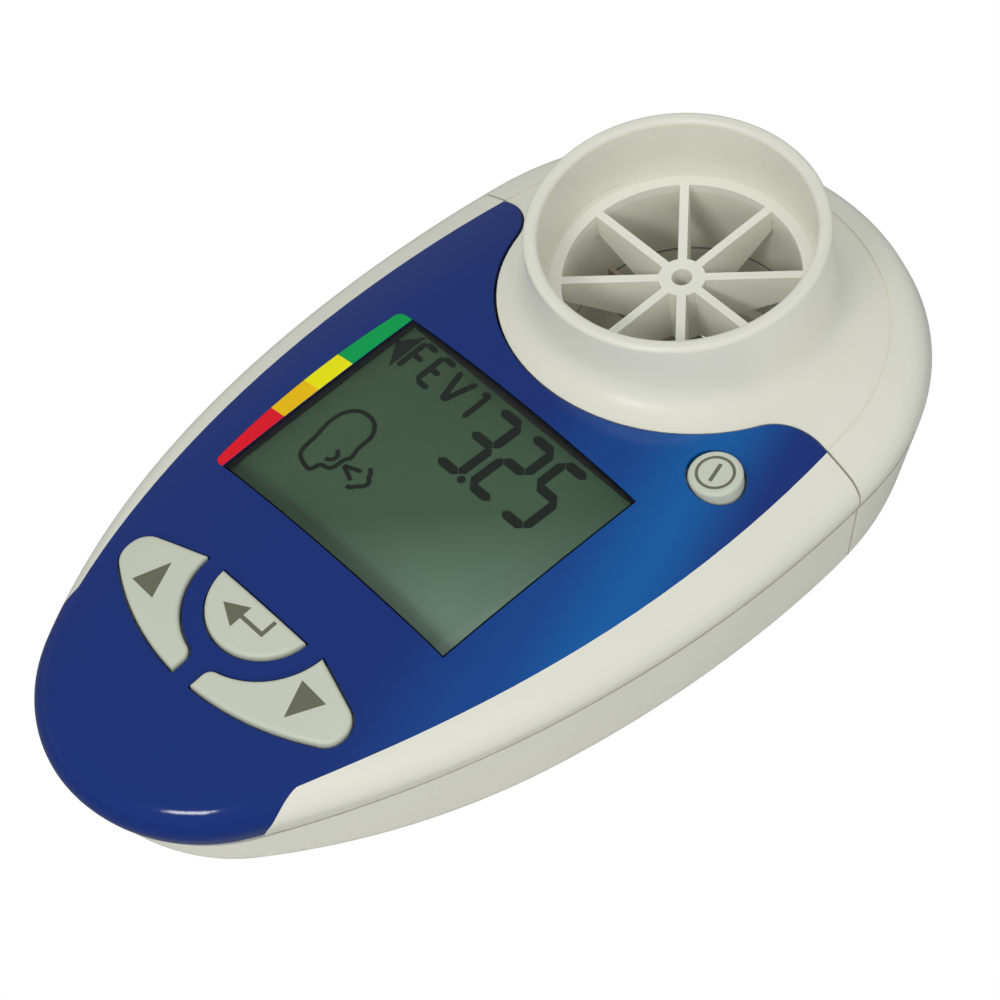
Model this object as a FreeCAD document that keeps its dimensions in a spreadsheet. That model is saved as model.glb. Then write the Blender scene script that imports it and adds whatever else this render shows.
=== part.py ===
"""Hand-held peak flow meter with a turbine flowhead, a liquid crystal display and four keys.

Frame: +X to the user's right, +Y towards the flowhead, +Z out of the face that carries the display.
The origin lies on the resting plane, under the middle of the overall length and width.  Millimetres.
"""
import FreeCAD, Part
import math
import os

import Sketcher

from FreeCAD import Placement, Rotation, Vector

doc = FreeCAD.newDocument("PeakFlowMeter")
dims = doc.addObject("Spreadsheet::Sheet", "dims")

DRIVING = {
    # the moulded body: an egg-shaped plan at the seam of the two shells, a wider one above it
    "body_length": 113.0,
    "seam_height": 12.6,
    "nose_overhang": 2.0,
    "seam_nose_radius": 16.8,
    "seam_rear_radius": 30.0,
    "seam_flank_radius": 132.4,
    "wide_height": 3.4,
    "wide_rear_lean": 1.2,
    "wide_nose_radius": 18.5,
    "wide_rear_radius": 31.0,
    "wide_flank_radius": 125.0,
    "high_height": 14.0,
    "high_nose_lead": -1.5,
    "high_rear_lean": 3.5,
    "crown_height": 11.5,
    "crown_apex": -6.0,
    "crown_long_radius": 355.0,
    "crown_flat_half": 14.0,
    "crown_cross_radius": 140.0,
    "crown_side_radius": 40.0,
    "tail_length": 25.5,
    "tail_radius": 90.0,
    "shoulder_radius": 3.2,
    "belly_front": -12.8,
    "belly_rear": 20.7,
    "belly_front_radius": 88.0,
    "belly_rear_radius": 78.0,
    "belly_edge_radius": 2.4,
    "floor_inset": 2.2,
    "floor_rear_inset": 4.2,
    "shell_wall": 1.8,
    "seam_groove": 0.4,
    # the blue front fascia and what shows through it
    "fascia_thickness": 1.5,
    "panel_nose_inset": 0.9,
    "panel_rear_inset": 4.3,
    "panel_nose_radius": 18.0,
    "panel_rear_radius": 25.6,
    "panel_flank_radius": 138.0,
    "panel_ledge": 1.6,
    "ledge_height": 4.2,
    "nose_cap_length": 11.1,
    "nose_cap_corner": 5.4,
    "window_half_width": 17.9,
    "window_front": -20.7,
    "window_rear": 6.8,
    "window_thickness": 1.2,
    "zone_inner": 18.0,
    "zone_front": 19.3,
    "zone_middle": 20.6,
    "zone_rear": 20.1,
    "zone_depth": 0.3,
    "zone_corner": 0.9,
    # the joint between the body and the removable flowhead
    "collar_centre": 30.7,
    "joint_radius": 20.5,
    "joint_side": 27.4,
    "joint_blend": 6.0,
    "joint_gap": 0.3,
    # the flowhead: mouthpiece socket, turbine tube and its two swirl plates
    "socket_radius": 15.2,
    "socket_wall": 1.6,
    "collar_height": 19.4,
    "collar_flare": 3.4,
    "deck_step": 0.25,
    "socket_depth": 8.4,
    "tube_radius": 13.25,
    "tube_wall": 1.7,
    "exhaust_standoff": 0.6,
    "collar_rim_radius": 0.6,
    "plate_flange": 1.2,
    "plate_radius": 14.6,
    "plate_rim_wall": 1.2,
    "vane_count": 8,
    "vane_thickness": 1.0,
    "vane_rim_depth": 3.0,
    "vane_hub_depth": 7.6,
    "hub_radius": 2.6,
    "hub_eye_radius": 1.15,
    "outlet_floor": 1.0,
    "outlet_rim_depth": 2.4,
    "outlet_vane_depth": 3.0,
    "vane_clearance": 0.05,
    "outlet_hub_depth": 5.2,
    "rotor_thickness": 0.5,
    "rotor_clearance": 0.6,
    "rotor_hub_radius": 1.3,
    "rotor_height": 7.6,
    "rotor_floor": 7.2,
    "shaft_radius": 0.5,
    "shaft_floor": 4.9,
    "shaft_length": 12.2,
    "shaft_tip": 0.35,
    "bearing_height": 1.4,
    "bearing_clearance": 0.05,
    # keys
    "key_row": -29.8,
    "key_arc_centre": -29.4,
    "enter_key_radius": 6.65,
    "side_key_inner_radius": 9.4,
    "side_key_outer_radius": 30.1,
    "side_key_front": -41.4,
    "side_key_tip": 1.5,
    "side_key_tip_corner": 1.3,
    "side_key_end": 17.5,
    "side_key_slope": 16.5,
    "side_key_corner": 2.6,
    "key_proud": 0.6,
    "key_gap": 0.25,
    "key_travel": 0.7,
    "key_lip": 0.8,
    "key_lip_thickness": 0.8,
    "key_lip_clearance": 0.3,
    "key_edge_radius": 0.45,
    "power_key_x": 21.0,
    "power_key_y": 15.4,
    "power_key_radius": 3.0,
    "power_key_proud": 0.8,
    # display and electronics
    "display_half_width": 19.3,
    "display_front": -22.3,
    "display_rear": 7.5,
    "display_thickness": 2.1,
    "gasket_margin": 0.3,
    "connector_height": 0.8,
    "connector_width": 2.0,
    "connector_half_length": 17.0,
    "board_depth": 8.1,
    "board_thickness": 1.2,
    "board_half_width": 19.6,
    "board_front": -45.5,
    "board_neck": -24.5,
    "board_neck_half": 13.6,
    "board_rear": 7.2,
    "board_ear": 22.6,
    "board_ear_inner": 18.6,
    "board_ear_rear": 17.0,
    "mat_front": -38.0,
    "mat_rear": -25.5,
    "mat_half_width": 13.4,
    "mat_thickness": 0.5,
    "dome_radius": 1.7,
    "dome_height": 1.5,
    "side_dome_x": 11.2,
    "side_dome_y": -34.5,
    "enter_dome_y": -32.6,
    "switch_size": 4.0,
    "switch_height": 0.5,
    "switch_x": 20.6,
    "switch_y": 14.9,
    "plunger_radius": 1.0,
    "plunger_height": 0.4,
    "buzzer_radius": 3.6,
    "buzzer_height": 1.5,
    "buzzer_y": -41.7,
    "sensor_x": 15.2,
    "sensor_y": 5.0,
    "sensor_width": 4.0,
    "sensor_depth": 1.8,
    "sensor_length": 6.2,
    "lens_radius": 1.3,
    "lens_length": 1.0,
    # battery compartment
    "cell_radius": 5.2,
    "cell_length": 43.3,
    "nub_radius": 1.9,
    "nub_length": 1.2,
    "cell_offset": 5.5,
    "cell_clearance": 0.2,
    "bay_front": -40.3,
    "bay_rear": 7.0,
    "bay_half_width": 11.6,
    "bay_wall": 1.2,
    "bay_headroom": 1.6,
    "plate_thickness": 0.3,
    "plate_half": 3.8,
    "spring_radius": 3.4,
    "spring_tip_radius": 2.4,
    "spring_wire": 0.35,
    "spring_turns": 2.0,
    "spring_length": 2.2,
    "door_half_width": 11.4,
    "door_rear": 6.8,
    "door_length": 46.6,
    "door_thickness": 1.3,
    "door_gap": 0.2,
    "hook_inner": 5.0,
    "hook_outer": 9.0,
    "hook_reach": 1.5,
    "hook_thickness": 1.1,
    # screws
    "screw_radius": 1.1,
    "screw_head_radius": 2.1,
    "screw_head_height": 1.5,
    "screw_seat": 3.4,
    "screw_tip_gap": 0.8,
    "screw_slot": 0.6,
    "screw_clearance": 0.05,
    "boss_radius": 2.8,
    "boss_web": 1.4,
    "screw_front_x": 17.0,
    "screw_front_y": -25.5,
    "screw_rear_x": 20.5,
    "screw_rear_y": 6.5,
}

for row, (alias, value) in enumerate(DRIVING.items(), start=1):
    dims.set("A%d" % row, alias)
    dims.set("B%d" % row, "%g" % value)
    dims.setAlias("B%d" % row, alias)
doc.recompute()


def size(alias):
    """The value of one driving dimension."""
    return float(getattr(dims, alias))


PIECES = []


def piece(obj, label):
    """Marks a document object as one finished piece of the meter."""
    obj.Label = label
    PIECES.append(obj)
    return obj


def shaped(name, shape):
    """A document object that holds a free-form shape."""
    obj = doc.addObject("Part::Feature", name)
    obj.Shape = shape
    obj.Placement = Placement(Vector(0, 0, 0), Rotation())
    return obj


def bind(obj, **rules):
    """Ties properties of an object to the sheet; a double underscore stands for a dot."""
    for name, rule in rules.items():
        obj.setExpression(name.replace("__", "."), rule)
    return obj


def value(rule):
    """The number that a rule gives with the sheet's sizes."""
    return float(dims.evalExpression(rule))


def joined(shape):
    """The result of a boolean as one solid where it is one, without needless seams."""
    cleaned = shape.removeSplitter()
    return cleaned.Solids[0] if len(cleaned.Solids) == 1 else cleaned


# Heights that several pieces share

seam = size("seam_height")
wall = size("shell_wall")
gap = size("joint_gap")
rear_tip = size("body_length") / 2
nose_tip = -size("body_length") / 2
collar_top = seam + size("collar_height")
socket_floor = collar_top - size("socket_depth")
BIG = 200.0

# Heights as rules: the board hangs below the crown, the display stands on it and the cells lie under it

BOARD = "(dims.seam_height + dims.crown_height - dims.board_depth)"
BOARD_TOP = BOARD + " + dims.board_thickness"
DISPLAY = BOARD_TOP + " + dims.connector_height"
CELL_AXIS = BOARD + " - dims.cell_radius - dims.cell_clearance"


# The moulded form

def egg(nose, rear, nose_radius, rear_radius, flank_radius, z):
    """Closed plan outline of four tangent arcs: nose, right flank, rear, left flank."""
    nose_centre = nose + nose_radius
    rear_centre = rear - rear_radius
    spread = (rear_radius - nose_radius) * (2 * flank_radius - nose_radius - rear_radius)
    flank_y = (spread / (rear_centre - nose_centre) + nose_centre + rear_centre) / 2
    flank_x = math.sqrt((flank_radius - nose_radius) ** 2 - (flank_y - nose_centre) ** 2)

    def touch(side, centre, radius):
        share = flank_radius / (flank_radius - radius)
        return Vector(side * flank_x * (share - 1), flank_y + (centre - flank_y) * share, z)

    nose_right = touch(1, nose_centre, nose_radius)
    nose_left = touch(-1, nose_centre, nose_radius)
    rear_right = touch(1, rear_centre, rear_radius)
    rear_left = touch(-1, rear_centre, rear_radius)
    waist = flank_radius - flank_x
    return Part.Wire([
        Part.Arc(nose_left, Vector(0, nose, z), nose_right).toShape(),
        Part.Arc(nose_right, Vector(waist, flank_y, z), rear_right).toShape(),
        Part.Arc(rear_right, Vector(0, rear, z), rear_left).toShape(),
        Part.Arc(rear_left, Vector(-waist, flank_y, z), nose_left).toShape(),
    ])


def seam_egg(inset=0.0, z=None):
    """Plan outline where the two shells meet."""
    return egg(nose_tip + size("nose_overhang") + inset, rear_tip - inset,
               size("seam_nose_radius") - inset, size("seam_rear_radius") - inset,
               size("seam_flank_radius") - inset, seam if z is None else z)


def panel_egg(inset, z):
    """Plan outline of the crease that bounds the front fascia."""
    return egg(nose_tip + size("panel_nose_inset") + inset, rear_tip - size("panel_rear_inset") - inset,
               size("panel_nose_radius") - inset, size("panel_rear_radius") - inset,
               size("panel_flank_radius") - inset, z)


def prism(wire, low, high):
    """Upright solid over a closed outline, from one height to another."""
    face = Part.Face(wire)
    face.translate(Vector(0, 0, low - wire.BoundBox.ZMin))
    return face.extrude(Vector(0, 0, high - low))


def crown_profile(apex_y, top):
    """Section across the crown: a flat middle arc with a tighter arc on each side, closed well below."""
    half = size("crown_flat_half")
    middle = size("crown_cross_radius")
    side = size("crown_side_radius")
    tilt = math.asin(half / middle)
    edge_z = top - middle + middle * math.cos(tilt)
    side_x = half - side * math.sin(tilt)
    side_z = edge_z - side * math.cos(tilt)
    end = math.radians(72)
    mid = (tilt + end) / 2

    def on_side(sign, angle):
        return Vector(sign * (side_x + side * math.sin(angle)), apex_y, side_z + side * math.cos(angle))

    left, right = on_side(-1, tilt), on_side(1, tilt)
    left_end, right_end = on_side(-1, end), on_side(1, end)
    foot = Vector(0, 0, -size("crown_height"))
    edges = [
        Part.Arc(left_end, on_side(-1, mid), left).toShape(),
        Part.Arc(left, Vector(0, apex_y, top), right).toShape(),
        Part.Arc(right, on_side(1, mid), right_end).toShape(),
        Part.LineSegment(right_end, right_end + foot).toShape(),
        Part.LineSegment(right_end + foot, left_end + foot).toShape(),
        Part.LineSegment(left_end + foot, left_end).toShape(),
    ]
    return Part.Face(Part.Wire(edges))


def crown(lowered):
    """Solid under the crowned top: a long arc from nose to tail, then a tighter tail arc."""
    apex = size("crown_apex")
    radius = size("crown_long_radius")
    top = seam + size("crown_height")
    centre = Vector(0, apex, top - radius)
    across = Vector(1, 0, 0)
    front = math.degrees(math.asin((apex - nose_tip + 8) / radius))
    rear = math.degrees(math.asin((rear_tip - size("tail_length") - apex) / radius))
    front_face = crown_profile(apex, top)
    front_face.rotate(centre, across, front)
    body = front_face.revolve(centre, across, -(front + rear))
    rear_face = crown_profile(apex, top)
    rear_face.rotate(centre, across, -rear)
    lean = math.radians(rear)
    inward = Vector(0, math.sin(lean), math.cos(lean)) * (radius - size("tail_radius"))
    tail = rear_face.revolve(centre + inward, across, -38)
    solid = body.fuse(tail)
    solid.translate(Vector(0, 0, -lowered))
    return solid


def upper_form(inset=0.0, rounded=True):
    """The upper half of the pebble, its walls moved in and its crown lowered by the inset."""
    wide = egg(nose_tip + inset, rear_tip - size("wide_rear_lean") - inset,
               size("wide_nose_radius") - inset, size("wide_rear_radius") - inset,
               size("wide_flank_radius") - inset, seam + size("wide_height"))
    high = egg(nose_tip - size("high_nose_lead") + inset, rear_tip - size("high_rear_lean") - inset,
               size("wide_nose_radius") - inset, size("wide_rear_radius") - inset,
               size("wide_flank_radius") - inset, seam + size("high_height"))
    side = Part.makeLoft([seam_egg(inset), wide, high], True, False)
    solid = side.common(crown(inset)).Solids[0]
    if not rounded:
        return solid
    rim = [edge for edge in solid.Edges if edge.BoundBox.ZMin > seam + 0.5 and borders_side(solid, edge)]
    return solid.makeFillet(size("shoulder_radius") - inset * 0.5, rim)


def borders_side(solid, edge):
    """True where an edge parts a side wall from the top."""
    kinds = [face.Surface.TypeId for face in solid.ancestorsOfType(edge, Part.Face)]
    return kinds.count("Part::GeomBSplineSurface") == 1


def belly(raised):
    """Solid over the belly: a flat sole that rises in an arc at the nose and at the rear."""
    front, rear = size("belly_front"), size("belly_rear")
    front_radius = size("belly_front_radius")
    rear_radius = size("belly_rear_radius")
    reach = math.radians(42)
    front_end = Vector(0, front - front_radius * math.sin(reach), front_radius * (1 - math.cos(reach)))
    front_mid = Vector(0, front - front_radius * math.sin(reach / 2), front_radius * (1 - math.cos(reach / 2)))
    rear_end = Vector(0, rear + rear_radius * math.sin(reach), rear_radius * (1 - math.cos(reach)))
    rear_mid = Vector(0, rear + rear_radius * math.sin(reach / 2), rear_radius * (1 - math.cos(reach / 2)))
    flat_front, flat_rear = Vector(0, front, 0), Vector(0, rear, 0)
    up = Vector(0, 0, BIG)
    wire = Part.Wire([
        Part.Arc(front_end, front_mid, flat_front).toShape(),
        Part.LineSegment(flat_front, flat_rear).toShape(),
        Part.Arc(flat_rear, rear_mid, rear_end).toShape(),
        Part.LineSegment(rear_end, rear_end + up).toShape(),
        Part.LineSegment(rear_end + up, front_end + up).toShape(),
        Part.LineSegment(front_end + up, front_end).toShape(),
    ])
    solid = Part.Face(wire).extrude(Vector(BIG, 0, 0))
    solid.translate(Vector(-BIG / 2, 0, raised))
    return solid


def lower_form(inset=0.0, rounded=True):
    """The lower half of the pebble, its walls moved in and its sole raised by the inset."""
    narrow = size("floor_inset") + inset
    floor = egg(nose_tip + size("nose_overhang") + narrow, rear_tip - size("floor_rear_inset") - inset,
                size("seam_nose_radius") - narrow, size("seam_rear_radius") - narrow,
                size("seam_flank_radius") - narrow, 0)
    side = Part.makeLoft([floor, seam_egg(inset)], True, True)
    solid = side.common(belly(inset)).Solids[0]
    return rounded_sole(solid) if rounded else solid


def rounded_sole(solid):
    """The same solid with the edge between side wall and sole rounded."""
    rim = [edge for edge in solid.Edges if edge.BoundBox.ZMax < seam - 0.5 and borders_sole(solid, edge)]
    return solid.makeFillet(size("belly_edge_radius"), rim)


def borders_sole(solid, edge):
    """True where an edge parts a side wall from the sole; the upright ones at the joint don't count."""
    sole = ("Part::GeomPlane", "Part::GeomCylinder")
    kinds = [face.Surface.TypeId in sole for face in solid.ancestorsOfType(edge, Part.Face)]
    return kinds.count(True) == 1 and edge.BoundBox.YLength > 0.01


def flowhead_region(grow):
    """Everything behind the joint: a disc about the socket, blended into a straight cut across the rear."""
    centre, radius = size("collar_centre"), size("joint_radius") + grow
    cut, blend = size("joint_side") - grow, size("joint_blend") - grow
    blend_y = cut - blend
    blend_x = math.sqrt((radius + blend) ** 2 - (centre - blend_y) ** 2)
    share = radius / (radius + blend)

    def joins(sign):
        return Vector(sign * blend_x * share, centre + (blend_y - centre) * share, 0)

    def blend_mid(sign):
        start = Vector(0, 1, 0)
        end = (joins(sign) - Vector(sign * blend_x, blend_y, 0)).normalize()
        return Vector(sign * blend_x, blend_y, 0) + (start + end).normalize() * blend

    right, left = Vector(blend_x, cut, 0), Vector(-blend_x, cut, 0)
    corners = [Vector(BIG, cut, 0), Vector(BIG, BIG, 0), Vector(-BIG, BIG, 0), Vector(-BIG, cut, 0)]
    wire = Part.Wire([
        Part.Arc(joins(-1), Vector(0, centre - radius, 0), joins(1)).toShape(),
        Part.Arc(joins(1), blend_mid(1), right).toShape(),
        Part.LineSegment(right, corners[0]).toShape(),
        Part.LineSegment(corners[0], corners[1]).toShape(),
        Part.LineSegment(corners[1], corners[2]).toShape(),
        Part.LineSegment(corners[2], corners[3]).toShape(),
        Part.LineSegment(corners[3], left).toShape(),
        Part.Arc(left, blend_mid(-1), joins(-1)).toShape(),
    ])
    return prism(wire, -BIG / 2, BIG)


def cylinder(radius, low, high, x=0.0, y=0.0):
    """Upright cylinder between two heights."""
    return Part.makeCylinder(radius, high - low, Vector(x, y, low))


def block(x0, x1, y0, y1, z0, z1):
    """Upright box between corner coordinates."""
    return Part.makeBox(x1 - x0, y1 - y0, z1 - z0, Vector(x0, y0, z0))


UPPER = upper_form()
LOWER = lower_form()
BODY_SIDE = flowhead_region(gap)
HEAD_SIDE = flowhead_region(0.0)


# The front fascia covers the top inside the crease and wraps down over the nose

def face_height(x, y):
    """Height of the pebble's upper surface over a place in the plan."""
    line = Part.LineSegment(Vector(x, y, seam), Vector(x, y, BIG)).toShape()
    return UPPER.common(line).BoundBox.ZMax


def crease_height(y):
    """Height of the crease at one place along the length."""
    across = Part.LineSegment(Vector(0, y, 0), Vector(BIG, y, 0)).toShape()
    meeting = across.distToShape(panel_egg(0.0, 0.0))[1][0][0]
    return face_height(meeting.x, y)


def nose_cap():
    """Block that takes the whole nose; its rear edge turns into the crease in a rounded corner."""
    edge, corner = nose_tip + size("nose_cap_length"), size("nose_cap_corner")
    turn = crease_height(edge + corner) - corner + 0.05
    slant = corner * (1 - math.sqrt(0.5))
    low = Vector(-BIG / 2, edge, seam - 1)
    start = Vector(-BIG / 2, edge, turn)
    middle = Vector(-BIG / 2, edge + slant, turn + corner * math.sqrt(0.5))
    end = Vector(-BIG / 2, edge + corner, turn + corner)
    top = Vector(-BIG / 2, edge + corner, BIG)
    far_top = Vector(-BIG / 2, -BIG, BIG)
    far_low = Vector(-BIG / 2, -BIG, seam - 1)
    wire = Part.Wire([
        Part.LineSegment(low, start).toShape(),
        Part.Arc(start, middle, end).toShape(),
        Part.LineSegment(end, top).toShape(),
        Part.LineSegment(top, far_top).toShape(),
        Part.LineSegment(far_top, far_low).toShape(),
        Part.LineSegment(far_low, low).toShape(),
    ])
    return Part.Face(wire).extrude(Vector(BIG, 0, 0))


fascia_region = prism(panel_egg(0.0, 0.0), seam, BIG).fuse(nose_cap())
under_fascia = upper_form(size("fascia_thickness"))
fascia_skin = UPPER.common(fascia_region).cut(BODY_SIDE).cut(under_fascia)


def upright(edge):
    """True for an edge that stands along Z."""
    box = edge.BoundBox
    return box.XLength < 0.01 and box.YLength < 0.01 and box.ZLength > 1


def window_opening(grow, low, high):
    """Upright block through the display window."""
    half = size("window_half_width") + grow
    return block(-half, half, size("window_front") - grow, size("window_rear") + grow, low, high)


def zone_outline(grow):
    """Upright strip along the window's left edge, bowed on its outer side."""
    inner = grow - size("zone_inner")
    front, rear = size("window_front") - grow, size("window_rear") + grow
    low = Vector(-size("zone_front") - grow, front, 0)
    high = Vector(-size("zone_rear") - grow, rear, 0)
    wire = Part.Wire([
        Part.Arc(low, Vector(-size("zone_middle") - grow, (front + rear) / 2, 0), high).toShape(),
        Part.LineSegment(high, Vector(inner, rear, 0)).toShape(),
        Part.LineSegment(Vector(inner, rear, 0), Vector(inner, front, 0)).toShape(),
        Part.LineSegment(Vector(inner, front, 0), low).toShape(),
    ])
    solid = prism(wire, seam, BIG)
    ends = [edge for edge in solid.Edges if upright(edge) and edge.BoundBox.XMax < inner - 0.5]
    return solid.makeFillet(size("zone_corner") + grow, ends)


# Keys: the outline of each is one upright solid, which the fascia's opening follows with a gap

def side_key_outline(side, grow):
    """Crescent key on one side of the middle one, between two arcs about the centre line."""
    row = size("key_row")
    arc = size("side_key_outer_radius")
    outer = cylinder(arc + grow, seam, BIG / 2, 0, size("side_key_front") + arc)
    inner = cylinder(size("side_key_inner_radius") - grow, seam - 1, BIG, 0, size("key_arc_centre"))
    near, far = size("side_key_tip") - grow, size("side_key_end") + grow
    strip = block(near, far, -BIG, BIG, seam, BIG / 2)
    slope = math.radians(size("side_key_slope"))
    lid = block(-BIG, BIG, 0, BIG, seam - 1, BIG)
    lid.rotate(Vector(0, 0, 0), Vector(0, 0, 1), -math.degrees(slope))
    lid.translate(Vector(size("side_key_inner_radius"), row + grow / math.cos(slope), 0))
    solid = outer.common(strip).cut(inner).cut(lid)
    posts = [edge for edge in solid.Edges if upright(edge)]
    ends = [edge for edge in posts if edge.BoundBox.XMin > far - size("side_key_corner")]
    length = ends[0].CenterOfMass.distanceToPoint(ends[1].CenterOfMass)
    solid = solid.makeFillet(min(size("side_key_corner") + grow, 0.75 * length), ends)
    tip = max((edge for edge in solid.Edges if upright(edge) and edge.BoundBox.XMin < near + 0.01),
              key=lambda edge: edge.BoundBox.YMin)
    solid = solid.makeFillet(size("side_key_tip_corner") + grow, [tip])
    if side < 0:
        solid = solid.mirror(Vector(0, 0, 0), Vector(1, 0, 0))
    return solid


def enter_key_outline(grow):
    """Half-moon key on the centre line, flat towards the display."""
    row = size("key_row")
    disc = cylinder(size("enter_key_radius") + grow, seam, BIG / 2, 0, size("key_arc_centre"))
    return disc.common(block(-BIG, BIG, -BIG, row + grow, seam, BIG / 2))


def power_key_outline(grow):
    """Round key beside the flowhead."""
    return cylinder(size("power_key_radius") + grow, seam, BIG / 2, size("power_key_x"), size("power_key_y"))


KEY_OUTLINES = {
    "up_key": lambda grow: side_key_outline(-1, grow),
    "down_key": lambda grow: side_key_outline(1, grow),
    "enter_key": enter_key_outline,
    "power_key": power_key_outline,
}

under_lip = crown(size("fascia_thickness") + size("key_lip_thickness"))
lip_top = crown(size("fascia_thickness") + 0.05)
key_root = block(-BIG, BIG, -BIG, BIG, -BIG, seam + size("ledge_height"))
lip_clearance = size("key_lip_clearance")
lip_room = prism(panel_egg(size("panel_ledge") + lip_clearance, 0.0), seam, BIG)
lip_room = lip_room.cut(flowhead_region(gap + wall + lip_clearance))


def make_key(name):
    """One key: a rounded cap that follows the crown, and a lip under the fascia that keeps it in."""
    plan_of = KEY_OUTLINES[name]
    if name == "power_key":
        x, y = size("power_key_x"), size("power_key_y")
        cap = cylinder(size("power_key_radius"), seam, face_height(x, y) + size("power_key_proud"), x, y)
    else:
        cap = joined(plan_of(0.0).common(crown(-size("key_proud"))))
    middle = cap.Solids[0].CenterOfMass.z
    rim = [edge for edge in cap.Edges if edge.CenterOfMass.z > middle and not upright(edge)]
    cap = cap.makeFillet(size("key_edge_radius"), rim)
    lip = plan_of(size("key_lip")).common(lip_top).common(lip_room)
    return cap.fuse(lip).cut(under_lip).cut(key_root).removeSplitter()


keys = {name: make_key(name) for name in KEY_OUTLINES}
fascia = fascia_skin.cut(window_opening(0.0, seam, BIG))
for plan_of in KEY_OUTLINES.values():
    fascia = fascia.cut(plan_of(size("key_gap")))
fascia = fascia.cut(zone_outline(0.03).cut(crown(size("zone_depth"))))
piece(shaped("FrontFascia", fascia), "front_fascia")
for name, shape in keys.items():
    piece(shaped(name.title().replace("_", ""), shape), name)


# Clear window, flush with the crown, and the strip of coloured zones beside it

window = window_opening(-0.05, seam, BIG).common(UPPER).cut(crown(size("window_thickness")))
piece(shaped("DisplayWindow", window), "display_window")

zones = zone_outline(0.0).common(crown(0.0)).cut(crown(size("zone_depth")))
piece(shaped("ZoneStrip", zones), "zone_strip")


# Upper housing: the white band between crease and seam, with a ledge under the fascia

def upper_cavity():
    """Room inside the upper housing: wide below the ledge, straight-walled above it."""
    below = upper_form(wall).common(block(-BIG, BIG, -BIG, BIG, seam - 1, seam + size("ledge_height")))
    above = prism(panel_egg(size("panel_ledge"), 0.0), seam - 1, BIG)
    return below.fuse(above).cut(flowhead_region(gap + wall))


CORNERS = [(side, size("screw_%s_x" % end), size("screw_%s_y" % end))
           for end in ("front", "rear") for side in (-1, 1)]
shank_hole = size("screw_radius") + size("screw_clearance")
head_hole = size("screw_head_radius") + size("screw_clearance")


def upper_bosses():
    """Four screw bosses under the board, each tied to the side wall by a web."""
    web = size("boss_web") / 2
    top = value(BOARD)
    posts = []
    for side, x, y in CORNERS:
        near, far = sorted((side * x, side * 40.0))
        posts.append(cylinder(size("boss_radius"), seam, top, side * x, y))
        posts.append(block(near, far, y - web, y + web, seam, top))
    return posts


def screw_holes(low, high):
    """Clearance holes for the four screws between two heights."""
    holes = [cylinder(shank_hole, low, high, side * x, y) for side, x, y in CORNERS]
    return holes[0].multiFuse(holes[1:])


upper_housing = UPPER.cut(fascia_skin).cut(BODY_SIDE).cut(upper_cavity()).cut(fascia_region.cut(under_fascia))
inside = upper_form(wall * 0.5, False)
for post in upper_bosses():
    upper_housing = upper_housing.fuse(post.common(inside))
upper_housing = joined(upper_housing.cut(screw_holes(seam - 1, value(BOARD) + 1)))
piece(shaped("UpperHousing", upper_housing), "upper_housing")


# Lower housing: the belly shell with the battery bay, four bosses and a shadow line at the seam

def seam_shadow():
    """Shallow groove round the outside, just under the seam."""
    groove = size("seam_groove")
    return prism(seam_egg(-1.0), seam - groove, seam).cut(prism(seam_egg(groove), seam - groove, seam))


def door_zone(grow):
    """Column over the battery door, its front face an arc about the hinge line."""
    half, rear = size("door_half_width") + grow, size("door_rear") + grow
    swing = Part.makeCylinder(size("door_length") + grow, 2 * half, Vector(-half, size("door_rear"), 0),
                              Vector(1, 0, 0))
    return swing.common(block(-half, half, -BIG, rear, -5, size("screw_seat") + 6))


def bay_walls():
    """Upright frame round the two cells; it stands on the sole and ends under the board."""
    half, thick = size("bay_half_width"), size("bay_wall")
    front, rear, top = size("bay_front"), size("bay_rear"), value(BOARD) - size("bay_headroom")
    outer = block(-half - thick, half + thick, front - thick, rear + thick, 0, top)
    inner = block(-half, half, front, rear, size("door_thickness") + 0.5, top + 1)
    frame = outer.cut(inner)
    below = frame.common(LOWER)
    above = frame.common(block(-BIG, BIG, -BIG, BIG, seam, BIG))
    return below.fuse(above)


def hooks(grow):
    """Two hooks at the door's rear that reach over the edge of the sole."""
    rear, floor = size("door_rear"), wall + 0.1 - grow
    parts = []
    for side in (-1, 1):
        near, far = sorted((side * (size("hook_inner") - grow), side * (size("hook_outer") + grow)))
        reach = rear + size("hook_reach") + grow
        parts.append(block(near, far, rear - size("hook_reach"), reach, floor,
                           floor + size("hook_thickness") + 5 * grow))
    return parts


lower_housing = LOWER.cut(BODY_SIDE).cut(lower_form(wall, False).cut(flowhead_region(gap + wall)))
lower_housing = lower_housing.fuse(bay_walls())
for side, x, y in CORNERS:
    lower_housing = lower_housing.fuse(cylinder(size("boss_radius"), 0, seam, side * x, y).common(LOWER))
for side, x, y in CORNERS:
    lower_housing = lower_housing.cut(cylinder(head_hole, -1, size("screw_seat"), side * x, y))
for slot in hooks(0.25):
    lower_housing = lower_housing.cut(slot)
lower_housing = lower_housing.cut(screw_holes(-1, seam + 1)).cut(door_zone(size("door_gap")))
lower_housing = joined(lower_housing.cut(seam_shadow()))
piece(shaped("LowerHousing", lower_housing), "lower_housing")


# Battery door: part of the sole, with two hooks at the rear on which it swings

door = LOWER.common(door_zone(0.0)).cut(lower_form(size("door_thickness"), False))
for hook in hooks(0.0):
    box = hook.BoundBox
    root = block(box.XMin, box.XMax, box.YMin, size("door_rear"), size("door_thickness") / 2, box.ZMax)
    door = door.fuse(hook).fuse(root)
piece(shaped("BatteryDoor", joined(door)), "battery_door")


# Flowhead: a removable rear part that carries the mouthpiece socket and the turbine tube

collar_y = size("collar_centre")
collar_radius = size("socket_radius") + size("socket_wall")
tube_outer = size("tube_radius") + size("tube_wall")
plate_ledge = socket_floor - size("plate_flange")


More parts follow.
